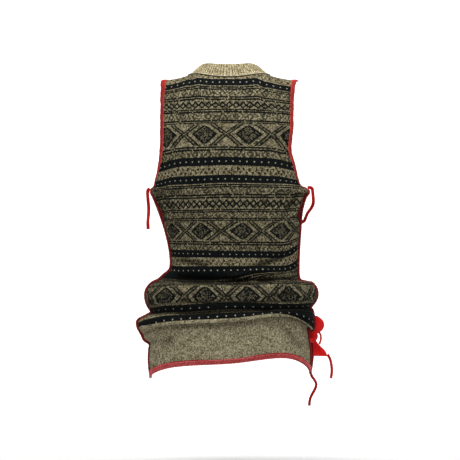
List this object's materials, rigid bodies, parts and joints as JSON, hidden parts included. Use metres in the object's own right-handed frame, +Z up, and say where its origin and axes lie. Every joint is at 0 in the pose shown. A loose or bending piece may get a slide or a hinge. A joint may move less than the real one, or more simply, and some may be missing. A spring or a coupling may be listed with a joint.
{
  "type": "fair isle sweater vest",
  "caption": "Worn hollow knit vest with fair isle bands, ribbed neckband and plain welt, open sides edged in red overlock and tied with red ribbon at underarms and hip.",
  "frame": {"origin": "base of the neck at the neckband's back seam, midway between the shoulder seams, where the wearer's shoulders carry the vest", "axes": "+Z up; the vest's back faces -Y and its front faces +Y; +X is the wearer's right, where the hip bow is"},
  "size_m": [0.4298, 0.2435, 0.7496],
  "materials": {
    "patterned_knit": "matt fair isle jacquard knit in beige marl and near-black wool",
    "marl_rib": "matt beige and brown marl rib knit",
    "red_overlock": "dense red overlock thread",
    "red_ribbon": "bright red soft ribbon, slight sheen"
  },
  "bodies": {
    "root": {"back_panel": "patterned_knit", "front_panel": "patterned_knit", "back_welt": "marl_rib", "front_welt": "marl_rib", "neckband_rib": "marl_rib", "back_edging_left": "red_overlock", "back_edging_right": "red_overlock", "front_edging_left": "red_overlock", "front_edging_right": "red_overlock", "back_hem_edging": "red_overlock", "front_hem_edging": "red_overlock", "underarm_knot_left": "red_ribbon", "underarm_knot_right": "red_ribbon", "hip_knot": "red_ribbon", "underarm_tie_left": "red_ribbon", "underarm_tie_right": "red_ribbon", "hip_cord": "red_ribbon", "hem_tail": "red_ribbon", "hip_bow_strand": "red_ribbon", "hip_bow_loop": "red_ribbon", "hip_bow_tail": "red_ribbon"}
  },
  "joints": []
}
